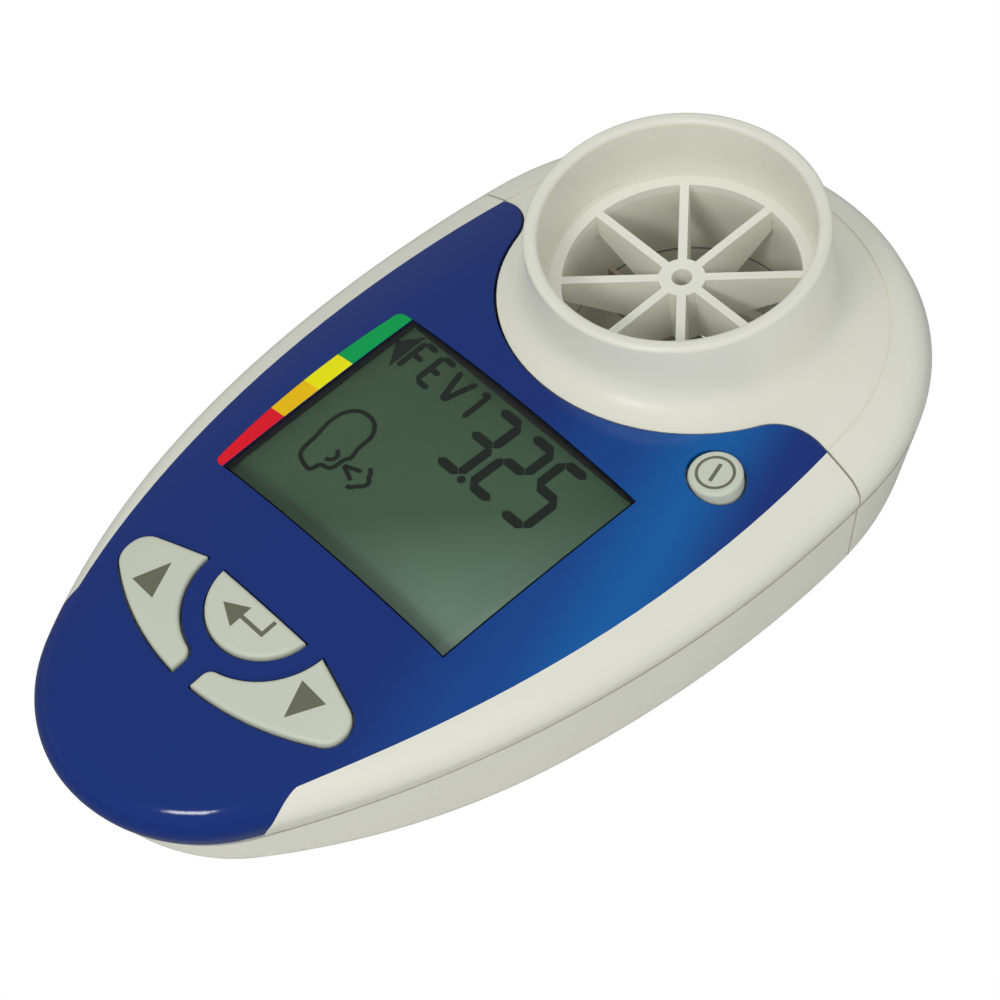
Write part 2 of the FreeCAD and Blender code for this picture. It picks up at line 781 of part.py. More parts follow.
def at_collar(radius, low, high):
    """Upright cylinder on the axis of the mouthpiece socket."""
    return cylinder(radius, low, high, 0, collar_y)


def collar_foot(solid):
    """Edges where the collar meets the deck."""
    found = []
    for edge in solid.Edges:
        faces = solid.ancestorsOfType(edge, Part.Face)
        round_faces = [face for face in faces if face.Surface.TypeId == "Part::GeomCylinder"
                       and abs(face.Surface.Radius - collar_radius) < 1e-6]
        if len(round_faces) == 1 and edge.BoundBox.ZMax < collar_top - 1:
            found.append(edge)
    return found


def collar_rim(solid):
    """Edges round the mouth of the socket."""
    return [edge for edge in solid.Edges if edge.BoundBox.ZMin > collar_top - 0.01]


deck = prism(panel_egg(0.0, 0.0), seam, BIG).cut(upper_form(size("deck_step")))
flow_upper = UPPER.common(HEAD_SIDE).cut(deck)
flow_upper = joined(flow_upper.fuse(at_collar(collar_radius, seam + 4, collar_top)))
flow_upper = flow_upper.makeFillet(size("collar_flare"), collar_foot(flow_upper))
room = upper_form(wall, False).common(flowhead_region(-wall))
room = room.cut(at_collar(collar_radius, plate_ledge - wall, BIG)).cut(at_collar(tube_outer, seam - 1, BIG))
flow_upper = flow_upper.cut(room).cut(at_collar(size("socket_radius"), socket_floor, BIG))
flow_upper = flow_upper.cut(at_collar(size("plate_radius"), plate_ledge, BIG))
flow_upper = joined(flow_upper.cut(at_collar(size("tube_radius"), seam - 1, BIG)))
flow_upper = flow_upper.makeFillet(size("collar_rim_radius"), collar_rim(flow_upper))
piece(shaped("FlowheadUpper", flow_upper), "flowhead_upper")

flow_lower = rounded_sole(lower_form(0.0, False).common(HEAD_SIDE))
flow_lower = flow_lower.cut(lower_form(wall, False).common(flowhead_region(-wall)))
flow_lower = flow_lower.fuse(at_collar(tube_outer, size("exhaust_standoff"), seam))
flow_lower = flow_lower.cut(at_collar(size("tube_radius"), -1, seam + 1))
piece(shaped("FlowheadLower", joined(flow_lower.cut(seam_shadow()))), "flowhead_lower")


# Sketched pieces: every outline and height follows the sheet

def body(name, label, **place):
    """A finished piece made from sketches."""
    made = doc.addObject("PartDesign::Body", name)
    bind(made, **place)
    return piece(made, label)


def base(owner, role):
    """One of a body's base planes or axes."""
    return [feature for feature in owner.Origin.OriginFeatures if feature.Role == role][0]


def sketch(owner, name, role="XY_Plane", lift=None):
    """A sketch on a base plane, moved along the plane's normal by a rule."""
    made = owner.newObject("Sketcher::SketchObject", name)
    made.AttachmentSupport = [(base(owner, role), "")]
    made.MapMode = "FlatFace"
    if lift:
        bind(made, AttachmentOffset__Base__z=lift)
    return made


def tie(made, index, point, x, y):
    """Holds a point of a sketch at the place that two rules give."""
    for kind, axis, rule in (("DistanceX", -2, x), ("DistanceY", -1, y)):
        if rule is None:
            made.addConstraint(Sketcher.Constraint("PointOnObject", index, point, axis))
        else:
            number = made.addConstraint(Sketcher.Constraint(kind, -1, 1, index, point, value(rule)))
            made.setExpression("Constraints[%d]" % number, rule)


def ring(made, radius, x=None, y=None):
    """A circle in a sketch; without a rule a coordinate lies on the axis."""
    centre = Vector(value(x) if x else 0, value(y) if y else 0, 0)
    index = made.addGeometry(Part.Circle(centre, Vector(0, 0, 1), value(radius)), False)
    number = made.addConstraint(Sketcher.Constraint("Radius", index, value(radius)))
    made.setExpression("Constraints[%d]" % number, radius)
    tie(made, index, 3, x, y)


def outline(made, corners):
    """A closed run of straight lines through corners given by rules."""
    points = [Vector(value(x) if x else 0, value(y) if y else 0, 0) for x, y in corners]
    first = made.GeometryCount
    count = len(points)
    for step in range(count):
        made.addGeometry(Part.LineSegment(points[step], points[(step + 1) % count]), False)
    for step in range(count):
        made.addConstraint(Sketcher.Constraint("Coincident", first + step, 2, first + (step + 1) % count, 1))
    for step, (x, y) in enumerate(corners):
        tie(made, first + step, 1, x, y)


def rectangle(x0, x1, y0, y1):
    """Corners of a rectangle between rules."""
    return [(x0, y0), (x1, y0), (x1, y1), (x0, y1)]


def pad(owner, made, length, downwards=False):
    """Grows a sketch into a solid by a rule."""
    feature = owner.newObject("PartDesign::Pad", made.Name + "Pad")
    feature.Profile = made
    feature.Reversed = downwards
    bind(feature, Length=length)
    owner.Tip = feature
    return feature


# Swirl plates: eight radial vanes that grow deeper towards the hub, inside a rim

def swirl_plate(name, label, rim_outer, rim_inner, rim_depth, vane_rim, vane_hub):
    """A stator whose upper face lies in its own XY plane and whose vanes hang below it."""
    made = body(name, label)
    rim = sketch(made, name + "Rim")
    ring(rim, rim_outer)
    ring(rim, rim_inner)
    pad(made, rim, rim_depth, downwards=True)
    hub = sketch(made, name + "Hub")
    ring(hub, "dims.hub_radius")
    ring(hub, "dims.hub_eye_radius")
    pad(made, hub, vane_hub, downwards=True)
    vane = sketch(made, name + "Vane", "XZ_Plane", "-dims.vane_thickness / 2")
    root = "dims.hub_radius - 0.4"
    tip = rim_inner + " + 0.4"
    clear = rim_inner + " - dims.vane_clearance"
    outline(vane, [(root, None), (tip, None), (tip, "-" + rim_depth), (clear, "-" + rim_depth),
                   (clear, "-" + vane_rim), (root, "-" + vane_hub)])
    blade = pad(made, vane, "dims.vane_thickness")
    blades = made.newObject("PartDesign::PolarPattern", name + "Vanes")
    blades.Originals = [blade]
    blades.Axis = (base(made, "Z_Axis"), [""])
    blades.Angle = 360
    bind(blades, Occurrences="dims.vane_count")
    made.Tip = blades
    return made


inlet = swirl_plate("InletSwirlPlate", "inlet_swirl_plate", "dims.plate_radius", "dims.tube_radius",
                    "dims.plate_flange", "dims.vane_rim_depth", "dims.vane_hub_depth")
bind(inlet, Placement__Base__y="dims.collar_centre",
     Placement__Base__z="dims.seam_height + dims.collar_height - dims.socket_depth")
outlet = swirl_plate("OutletSwirlPlate", "outlet_swirl_plate", "dims.tube_radius",
                     "dims.tube_radius - dims.plate_rim_wall", "dims.outlet_rim_depth",
                     "dims.outlet_vane_depth", "dims.outlet_hub_depth")
outlet.Placement = Placement(Vector(0, 0, 0), Rotation(Vector(1, 0, 0), 180))
bind(outlet, Placement__Base__y="dims.collar_centre", Placement__Base__z="dims.outlet_floor")


# Rotor: a flat vane on a thin shaft between two bearings in the hubs' eyes

vane = body("RotorVane", "rotor_vane", Placement__Base__y="dims.collar_centre",
            Placement__Base__z="dims.rotor_floor")
vane_hub = sketch(vane, "RotorHub")
ring(vane_hub, "dims.rotor_hub_radius")
ring(vane_hub, "dims.shaft_radius")
pad(vane, vane_hub, "dims.rotor_height")
wing = sketch(vane, "RotorWing", "XZ_Plane", "-dims.rotor_thickness / 2")
outline(wing, rectangle("dims.rotor_hub_radius - 0.3", "dims.tube_radius - dims.rotor_clearance",
                        None, "dims.rotor_height"))
one_wing = pad(vane, wing, "dims.rotor_thickness")
both_wings = vane.newObject("PartDesign::PolarPattern", "RotorWings")
both_wings.Originals = [one_wing]
both_wings.Axis = (base(vane, "Z_Axis"), [""])
both_wings.Angle = 360
both_wings.Occurrences = 2
vane.Tip = both_wings

shaft = body("RotorShaft", "rotor_shaft", Placement__Base__y="dims.collar_centre",
             Placement__Base__z="dims.shaft_floor")
turned = sketch(shaft, "ShaftProfile", "XZ_Plane")
outline(turned, [(None, None), ("dims.shaft_radius - dims.shaft_tip", None),
                 ("dims.shaft_radius", "dims.shaft_tip"),
                 ("dims.shaft_radius", "dims.shaft_length - dims.shaft_tip"),
                 ("dims.shaft_radius - dims.shaft_tip", "dims.shaft_length"),
                 (None, "dims.shaft_length")])
spin = shaft.newObject("PartDesign::Revolution", "ShaftTurned")
spin.Profile = turned
spin.ReferenceAxis = (base(shaft, "Z_Axis"), [""])
spin.Angle = 360
shaft.Tip = spin

BEARINGS = {
    "upper": "dims.seam_height + dims.collar_height - dims.socket_depth - dims.vane_hub_depth",
    "lower": "dims.outlet_floor + dims.outlet_hub_depth - dims.bearing_height",
}
for place, height in BEARINGS.items():
    name = place.title() + "Bearing"
    bearing = body(name, place + "_bearing", Placement__Base__y="dims.collar_centre",
                   Placement__Base__z=height)
    race = sketch(bearing, name + "Race")
    ring(race, "dims.hub_eye_radius")
    ring(race, "dims.shaft_radius + dims.bearing_clearance")
    pad(bearing, race, "dims.bearing_height")


# Display module: liquid crystal panel, foam gasket under the fascia, rubber connector strips

panel = body("DisplayPanel", "display_panel", Placement__Base__z=DISPLAY)
glass = sketch(panel, "PanelGlass")
outline(glass, rectangle("-dims.display_half_width", "dims.display_half_width",
                         "dims.display_front", "dims.display_rear"))
pad(panel, glass, "dims.display_thickness")

gasket_edge = size("display_half_width") + size("gasket_margin")
gasket = block(-gasket_edge, gasket_edge, size("display_front") - size("gasket_margin"),
               size("display_rear") + size("gasket_margin"),
               value(DISPLAY) + size("display_thickness"), BIG)
gasket = gasket.cut(window_opening(size("gasket_margin"), seam, BIG)).common(under_fascia)
piece(shaped("DisplayGasket", joined(gasket)), "display_gasket")

strips = body("DisplayConnector", "display_connector", Placement__Base__z=BOARD_TOP)
strip = sketch(strips, "ConnectorStrip")
outline(strip, rectangle("-dims.connector_half_length", "dims.connector_half_length",
                         "dims.display_front", "dims.display_front + dims.connector_width"))
pad(strips, strip, "dims.connector_height")


# Circuit board with what is soldered to it

board = body("CircuitBoard", "circuit_board", Placement__Base__z=BOARD)
plan = sketch(board, "BoardPlan")
outline(plan, [
    ("-dims.board_neck_half", "dims.board_front"), ("dims.board_neck_half", "dims.board_front"),
    ("dims.board_neck_half", "dims.board_neck"), ("dims.board_half_width", "dims.board_neck"),
    ("dims.board_half_width", "dims.board_rear - 4"), ("dims.board_ear", "dims.board_rear - 4"),
    ("dims.board_ear", "dims.board_ear_rear"), ("dims.board_ear_inner", "dims.board_ear_rear"),
    ("dims.board_ear_inner", "dims.board_rear"), ("-dims.board_half_width", "dims.board_rear"),
    ("-dims.board_half_width", "dims.board_neck"), ("-dims.board_neck_half", "dims.board_neck"),
])
pad(board, plan, "dims.board_thickness")

mat = body("KeypadMat", "keypad_mat", Placement__Base__z=BOARD_TOP)
sheet = sketch(mat, "MatSheet")
outline(sheet, rectangle("-dims.mat_half_width", "dims.mat_half_width", "dims.mat_front", "dims.mat_rear"))
pad(mat, sheet, "dims.mat_thickness")
domes = sketch(mat, "MatDomes", lift="dims.mat_thickness - 0.1")
ring(domes, "dims.dome_radius", None, "dims.enter_dome_y")
ring(domes, "dims.dome_radius", "dims.side_dome_x", "dims.side_dome_y")
ring(domes, "dims.dome_radius", "-dims.side_dome_x", "dims.side_dome_y")
pad(mat, domes, "dims.dome_height + 0.1")

switch = body("PowerSwitch", "power_switch", Placement__Base__x="dims.switch_x",
              Placement__Base__y="dims.switch_y", Placement__Base__z=BOARD_TOP)
case = sketch(switch, "SwitchCase")
half_switch = "dims.switch_size / 2"
outline(case, rectangle("-" + half_switch, half_switch, "-" + half_switch, half_switch))
pad(switch, case, "dims.switch_height")
plunger = sketch(switch, "SwitchPlunger", lift="dims.switch_height - 0.1")
ring(plunger, "dims.plunger_radius")
pad(switch, plunger, "dims.plunger_height + 0.1")

buzzer = body("Buzzer", "buzzer", Placement__Base__y="dims.buzzer_y", Placement__Base__z=BOARD_TOP)
drum = sketch(buzzer, "BuzzerDrum")
ring(drum, "dims.buzzer_radius")
pad(buzzer, drum, "dims.buzzer_height")

for label, side in (("infrared_emitter", ""), ("infrared_detector", "-")):
    name = label.title().replace("_", "")
    sensor = body(name, label, Placement__Base__x=side + "dims.sensor_x", Placement__Base__y="dims.sensor_y",
                  Placement__Base__z=BOARD + " - dims.sensor_length")
    block_plan = sketch(sensor, name + "Block")
    outline(block_plan, rectangle("-dims.sensor_width / 2", "dims.sensor_width / 2",
                                  None, "dims.sensor_depth"))
    pad(sensor, block_plan, "dims.sensor_length")
    lens = sketch(sensor, name + "Lens", "XZ_Plane", "-dims.sensor_depth - dims.lens_length")
    ring(lens, "dims.lens_radius", None, "dims.lens_radius + 0.4")
    pad(sensor, lens, "dims.lens_length + 0.2")


# Battery bay: two cells head to tail, contact plates and coiled springs

def lying(name, radius, length, x, y, z):
    """A cylinder along Y whose sizes and place follow rules."""
    made = doc.addObject("Part::Cylinder", name)
    made.Placement = Placement(Vector(0, 0, 0), Rotation(Vector(1, 0, 0), -90))
    return bind(made, Radius=radius, Height=length, Placement__Base__x=x, Placement__Base__y=y,
                Placement__Base__z=z)


FIRST_END = "dims.bay_front + dims.plate_thickness"
CELLS = {
    "left": ("-dims.cell_offset", FIRST_END + " + dims.spring_length",
             FIRST_END + " + dims.spring_length + dims.cell_length"),
    "right": ("dims.cell_offset", FIRST_END + " + dims.nub_length", FIRST_END),
}
for place, (x, can_y, nub_y) in CELLS.items():
    name = place.title()
    can = lying(name + "Can", "dims.cell_radius", "dims.cell_length", x, can_y, CELL_AXIS)
    nub = lying(name + "Nub", "dims.nub_radius", "dims.nub_length", x, nub_y, CELL_AXIS)
    cell = doc.addObject("Part::MultiFuse", name + "Cell")
    cell.Shapes = [can, nub]
    piece(cell, place + "_battery_cell")

plates = []
for side in ("-", ""):
    for end, y in (("Front", "dims.bay_front"), ("Rear", "dims.bay_rear - dims.plate_thickness")):
        plate = doc.addObject("Part::Box", end + ("Left" if side else "Right") + "Plate")
        bind(plate, Length="2 * dims.plate_half", Width="dims.plate_thickness", Height="2 * dims.plate_half",
             Placement__Base__x=side + "dims.cell_offset - dims.plate_half", Placement__Base__y=y,
             Placement__Base__z=CELL_AXIS + " - dims.plate_half")
        plates.append(plate)
contacts = doc.addObject("Part::Compound", "BatteryPlates")
contacts.Links = plates
piece(contacts, "battery_plates")


def coil(x, y, towards):
    """Conical spring between a contact plate and the flat end of a cell, wound on a smooth curve."""
    wire = size("spring_wire")
    height = size("spring_length") - 2 * wire
    steps = int(size("spring_turns") * 12)
    points = []
    for step in range(steps + 1):
        share = step / steps
        angle = 2 * math.pi * size("spring_turns") * share
        radius = size("spring_radius") + (size("spring_tip_radius") - size("spring_radius")) * share
        points.append(Vector(radius * math.cos(angle), radius * math.sin(angle), height * share))
    curve = Part.BSplineCurve()
    curve.interpolate(points)
    start = curve.tangent(curve.FirstParameter)[0]
    profile = Part.Wire([Part.makeCircle(wire, points[0], start)])
    solid = Part.Wire(curve.toShape()).makePipeShell([profile], True, False)
    solid.rotate(Vector(0, 0, 0), Vector(1, 0, 0), -90 * towards)
    solid.translate(Vector(x, y + towards * wire, value(CELL_AXIS)))
    return solid


coils = [coil(-size("cell_offset"), size("bay_front") + size("plate_thickness"), 1),
         coil(size("cell_offset"), size("bay_rear") - size("plate_thickness"), -1)]
piece(shaped("BatterySprings", Part.makeCompound(coils)), "battery_springs")


# Four screws that draw the shells together

def screw(name, x, y):
    """A pan-head screw with a cross recess, pointing up."""
    shank = doc.addObject("Part::Cylinder", name + "Shank")
    bind(shank, Radius="dims.screw_radius", Height=BOARD + " - dims.screw_seat - dims.screw_tip_gap",
         Placement__Base__x=x, Placement__Base__y=y, Placement__Base__z="dims.screw_seat")
    head = doc.addObject("Part::Cylinder", name + "Head")
    bind(head, Radius="dims.screw_head_radius", Height="dims.screw_head_height", Placement__Base__x=x,
         Placement__Base__y=y, Placement__Base__z="dims.screw_seat - dims.screw_head_height")
    whole = doc.addObject("Part::MultiFuse", name + "Solid")
    whole.Shapes = [shank, head]
    arms = []
    reach, slot = "dims.screw_head_radius * 0.6", "dims.screw_slot / 2"
    for arm, (half_x, half_y) in (("Across", (reach, slot)), ("Along", (slot, reach))):
        cut = doc.addObject("Part::Box", name + arm)
        bind(cut, Length="2 * " + half_x, Width="2 * " + half_y, Height="dims.screw_head_height",
             Placement__Base__x=x + " - " + half_x, Placement__Base__y=y + " - " + half_y,
             Placement__Base__z="dims.screw_seat - dims.screw_head_height * 1.5")
        arms.append(cut)
    recess = doc.addObject("Part::MultiFuse", name + "Recess")
    recess.Shapes = arms
    made = doc.addObject("Part::Cut", name)
    made.Base = whole
    made.Tool = recess
    return made


screws = []
for end in ("front", "rear"):
    for side, sign in (("Left", "-"), ("Right", "")):
        screws.append(screw(end.title() + side + "Screw", sign + "dims.screw_%s_x" % end,
                            "dims.screw_%s_y" % end))
fixings = doc.addObject("Part::Compound", "HousingScrews")
fixings.Links = screws
piece(fixings, "housing_screws")


# Check every object, then write one file for each piece

doc.recompute()
for obj in doc.Objects:
    if "Invalid" in obj.State or "Error" in obj.State:
        raise RuntimeError("object in error: " + obj.Name)
os.makedirs("parts", exist_ok=True)
for obj in PIECES:
    if obj.Shape.isNull() or not obj.Shape.isValid():
        raise RuntimeError("no valid shape: " + obj.Label)
    obj.Shape.exportStep("parts/" + obj.Label + ".step")
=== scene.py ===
import bpy
import math
from mathutils import Matrix, Vector


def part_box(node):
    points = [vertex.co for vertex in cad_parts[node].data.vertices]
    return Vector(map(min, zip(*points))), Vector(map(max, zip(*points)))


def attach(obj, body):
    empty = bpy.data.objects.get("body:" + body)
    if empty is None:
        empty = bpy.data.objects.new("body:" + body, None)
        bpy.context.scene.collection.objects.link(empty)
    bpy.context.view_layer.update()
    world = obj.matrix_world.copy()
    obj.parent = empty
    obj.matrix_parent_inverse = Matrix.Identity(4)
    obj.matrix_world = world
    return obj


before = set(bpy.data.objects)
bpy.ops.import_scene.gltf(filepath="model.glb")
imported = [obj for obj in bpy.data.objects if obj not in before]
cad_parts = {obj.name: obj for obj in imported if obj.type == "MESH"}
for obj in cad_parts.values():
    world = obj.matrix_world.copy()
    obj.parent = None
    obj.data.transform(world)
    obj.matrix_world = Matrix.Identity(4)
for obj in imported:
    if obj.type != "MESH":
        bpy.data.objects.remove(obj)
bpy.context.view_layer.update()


# Camera: looks down on the meter from its right front, rolled a little as in the photograph.
camera_data = bpy.data.cameras.new("camera")
camera = bpy.data.objects.new("camera", camera_data)
bpy.context.scene.collection.objects.link(camera)
focal_length, sensor_width = 148.43, 36.0
camera_data.lens = focal_length
camera_data.sensor_width = sensor_width
camera_data.sensor_fit = "HORIZONTAL"
camera_data.clip_start = 0.01
camera_data.clip_end = 20.0
camera_place = Vector((0.222233, -0.151039, 0.373086))
camera_right = Vector((0.66887, 0.73674, -0.09915))
camera_up = Vector((-0.55733, 0.58525, 0.58895))
camera_back = Vector((0.49194, -0.33867, 0.80206))
camera.matrix_world = Matrix.Translation(camera_place) @ Matrix(
    (camera_right, camera_up, camera_back)).transposed().to_4x4()
bpy.context.scene.camera = camera
bpy.context.scene.view_settings.view_transform = "Standard"


# Floor and light: a plain white table in a light tent, seen by the camera as pure white. A bright window
# beside the camera gives the gloss on the nose; two broad dull lamps fill in from above and the right.
def srgb(red, green, blue):
    """A colour given in display values from 0 to 255, as the linear values that a shader takes."""
    def linear(value):
        share = value / 255
        return share / 12.92 if share <= 0.04045 else ((share + 0.055) / 1.055) ** 2.4
    return (linear(red), linear(green), linear(blue), 1.0)


def start_fresh():
    """Nothing selected, object mode."""
    if bpy.context.object and bpy.context.object.mode != "OBJECT":
        bpy.ops.object.mode_set(mode="OBJECT")
    bpy.ops.object.select_all(action="DESELECT")


table_size, table_drop = 6.0, 0.0002
table_albedo, white_seen, dim_mirrored = 0.82, 1.0, 0.15
start_fresh()
bpy.ops.mesh.primitive_plane_add(size=table_size, location=(0, 0, -table_drop))
floor = bpy.context.object
floor.name = "studio_floor"
floor_material = bpy.data.materials.new("studio_floor")
floor_material.use_nodes = True
floor_shader = floor_material.node_tree.nodes["Principled BSDF"]
floor_shader.inputs["Base Color"].default_value = (table_albedo, table_albedo, table_albedo, 1)
floor_shader.inputs["Roughness"].default_value = 0.9
floor_shader.inputs["Specular IOR Level"].default_value = 0.1
floor_nodes, floor_links = floor_material.node_tree.nodes, floor_material.node_tree.links
floor_white = floor_nodes.new("ShaderNodeEmission")
floor_white.inputs["Strength"].default_value = white_seen
floor_dim = floor_nodes.new("ShaderNodeEmission")
floor_dim.inputs["Strength"].default_value = dim_mirrored
floor_seen = floor_nodes.new("ShaderNodeLightPath")
floor_gloss = floor_nodes.new("ShaderNodeMixShader")
floor_links.new(floor_seen.outputs["Is Glossy Ray"], floor_gloss.inputs["Fac"])
floor_links.new(floor_shader.outputs["BSDF"], floor_gloss.inputs[1])
floor_links.new(floor_dim.outputs["Emission"], floor_gloss.inputs[2])
floor_choice = floor_nodes.new("ShaderNodeMixShader")
floor_links.new(floor_seen.outputs["Is Camera Ray"], floor_choice.inputs["Fac"])
floor_links.new(floor_gloss.outputs["Shader"], floor_choice.inputs[1])
floor_links.new(floor_white.outputs["Emission"], floor_choice.inputs[2])
floor_links.new(floor_choice.outputs["Shader"], floor_nodes["Material Output"].inputs["Surface"])
floor.data.materials.append(floor_material)

tent_tint, ambient_strength, tent_mirrored = (0.95, 0.97, 1.0, 1), 0.53, 0.26
world = bpy.data.worlds.new("studio")
bpy.context.scene.world = world
world.use_nodes = True
world_nodes, world_links = world.node_tree.nodes, world.node_tree.links
ambient = world_nodes["Background"]
ambient.inputs["Color"].default_value = tent_tint
ambient.inputs["Strength"].default_value = ambient_strength
tent = world_nodes.new("ShaderNodeBackground")
tent.inputs["Color"].default_value = tent_tint
tent.inputs["Strength"].default_value = tent_mirrored
backdrop = world_nodes.new("ShaderNodeBackground")
backdrop.inputs["Color"].default_value = (1, 1, 1, 1)
backdrop.inputs["Strength"].default_value = white_seen
seen = world_nodes.new("ShaderNodeLightPath")
gloss_choice = world_nodes.new("ShaderNodeMixShader")
world_links.new(seen.outputs["Is Glossy Ray"], gloss_choice.inputs["Fac"])
world_links.new(ambient.outputs["Background"], gloss_choice.inputs[1])
world_links.new(tent.outputs["Background"], gloss_choice.inputs[2])
choice = world_nodes.new("ShaderNodeMixShader")
world_links.new(seen.outputs["Is Camera Ray"], choice.inputs["Fac"])
world_links.new(gloss_choice.outputs["Shader"], choice.inputs[1])
world_links.new(backdrop.outputs["Background"], choice.inputs[2])
world_links.new(choice.outputs["Shader"], world_nodes["World Output"].inputs["Surface"])


def soft_box(name, place, aim, width, height, power, tint, mirrored=False):
    """A rectangular lamp that points from one place to another; only a mirrored one shows in gloss."""
    data = bpy.data.lights.new(name, "AREA")
    data.shape = "RECTANGLE"
    data.size, data.size_y = width, height
    data.energy = power
    data.color = tint
    lamp = bpy.data.objects.new(name, data)
    bpy.context.scene.collection.objects.link(lamp)
    lamp.location = place
    lamp.rotation_euler = (Vector(aim) - Vector(place)).to_track_quat("-Z", "Y").to_euler()
    lamp.visible_glossy = mirrored


soft_box("fill_above", place=(0.05, 0.1, 1.0), aim=(0, 0.01, 0.02),
         width=0.6, height=0.6, power=0.8, tint=(1.0, 0.99, 0.96))
soft_box("fill_right", place=(0.80, -0.25, 0.42), aim=(0, 0, 0.02),
         width=0.5, height=0.5, power=1.0, tint=(1.0, 0.99, 0.97))
soft_box("window", place=(0.262, -0.66, 0.77), aim=(0.01, -0.05, 0.02),
         width=0.31, height=0.18, power=2.5, tint=(1.0, 0.99, 0.97), mirrored=True)


# Case shells: glossy ivory moulding in an upper and a lower half that meet in a fine groove, darkened by a
# band of painted shade, with the battery door in the lower one; screwed together from below. The flowhead is
# of the same stock.
MM = 0.001


def moulding_grain():
    """Shared surface of moulded plastic: faint mottling, uneven gloss and a very fine grain."""
    group = bpy.data.node_groups.new("moulding_grain", "ShaderNodeTree")
    for name, kind, value in (("Colour", "NodeSocketColor", (0.8, 0.8, 0.8, 1)),
                              ("Mottle", "NodeSocketFloat", 0.03), ("Roughness", "NodeSocketFloat", 0.3),
                              ("Spread", "NodeSocketFloat", 0.05), ("Grain Size", "NodeSocketFloat", 2200.0),
                              ("Grain Height", "NodeSocketFloat", 0.05)):
        socket = group.interface.new_socket(name=name, in_out="INPUT", socket_type=kind)
        socket.default_value = value
    for name, kind in (("Colour", "NodeSocketColor"), ("Roughness", "NodeSocketFloat"),
                       ("Normal", "NodeSocketVector")):
        group.interface.new_socket(name=name, in_out="OUTPUT", socket_type=kind)
    nodes, links = group.nodes, group.links
    inputs, outputs = nodes.new("NodeGroupInput"), nodes.new("NodeGroupOutput")
    place = nodes.new("ShaderNodeTexCoord")
    broad = nodes.new("ShaderNodeTexNoise")
    mottle_scale, bump_depth = 70.0, 0.02 * MM
    broad.inputs["Scale"].default_value = mottle_scale
    broad.inputs["Detail"].default_value = 3.0
    fine = nodes.new("ShaderNodeTexNoise")
    fine.inputs["Detail"].default_value = 2.0
    links.new(place.outputs["Object"], broad.inputs["Vector"])
    links.new(place.outputs["Object"], fine.inputs["Vector"])
    links.new(inputs.outputs["Grain Size"], fine.inputs["Scale"])
    centred = nodes.new("ShaderNodeMath")
    centred.operation = "SUBTRACT"
    centred.inputs[1].default_value = 0.5
    links.new(broad.outputs["Fac"], centred.inputs[0])
    shade = nodes.new("ShaderNodeMath")
    shade.operation = "MULTIPLY_ADD"
    shade.inputs[2].default_value = 1.0
    links.new(centred.outputs["Value"], shade.inputs[0])
    links.new(inputs.outputs["Mottle"], shade.inputs[1])
    tinted = nodes.new("ShaderNodeVectorMath")
    tinted.operation = "SCALE"
    links.new(inputs.outputs["Colour"], tinted.inputs[0])
    links.new(shade.outputs["Value"], tinted.inputs["Scale"])
    links.new(tinted.outputs["Vector"], outputs.inputs["Colour"])
    gloss = nodes.new("ShaderNodeMath")
    gloss.operation = "MULTIPLY_ADD"
    links.new(centred.outputs["Value"], gloss.inputs[0])
    links.new(inputs.outputs["Spread"], gloss.inputs[1])
    links.new(inputs.outputs["Roughness"], gloss.inputs[2])
    links.new(gloss.outputs["Value"], outputs.inputs["Roughness"])
    bump = nodes.new("ShaderNodeBump")
    bump.inputs["Distance"].default_value = bump_depth
    links.new(inputs.outputs["Grain Height"], bump.inputs["Strength"])
    links.new(fine.outputs["Fac"], bump.inputs["Height"])
    links.new(bump.outputs["Normal"], outputs.inputs["Normal"])
    return group


GRAIN = moulding_grain()


def moulded(name, colour, roughness, mottle=0.04, spread=0.08, grain_size=2200.0, grain=0.25,
            metallic=0.0, coat=0.0, specular=0.5):
    """A material of one moulded or plated stock; returns the material, whose grain node is named surface."""
    material = bpy.data.materials.new(name)
    material.use_nodes = True
    nodes, links = material.node_tree.nodes, material.node_tree.links
    shader = nodes["Principled BSDF"]
    shader.inputs["Metallic"].default_value = metallic
    shader.inputs["Coat Weight"].default_value = coat
    shader.inputs["Coat Roughness"].default_value = 0.05
    shader.inputs["Specular IOR Level"].default_value = specular
    surface = nodes.new("ShaderNodeGroup")
    surface.node_tree = GRAIN
    surface.name = "surface"
    surface.inputs["Colour"].default_value = colour
    surface.inputs["Mottle"].default_value = mottle
    surface.inputs["Roughness"].default_value = roughness
    surface.inputs["Spread"].default_value = spread
    surface.inputs["Grain Size"].default_value = grain_size
    surface.inputs["Grain Height"].default_value = grain
    links.new(surface.outputs["Colour"], shader.inputs["Base Color"])
    links.new(surface.outputs["Roughness"], shader.inputs["Roughness"])
    links.new(surface.outputs["Normal"], shader.inputs["Normal"])
    return material


def finish_node(node, material):
    """Gives a carried-over solid its material."""
    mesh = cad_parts[node].data
    mesh.materials.clear()
    mesh.materials.append(material)
    for polygon in mesh.polygons:
        polygon.material_index = 0


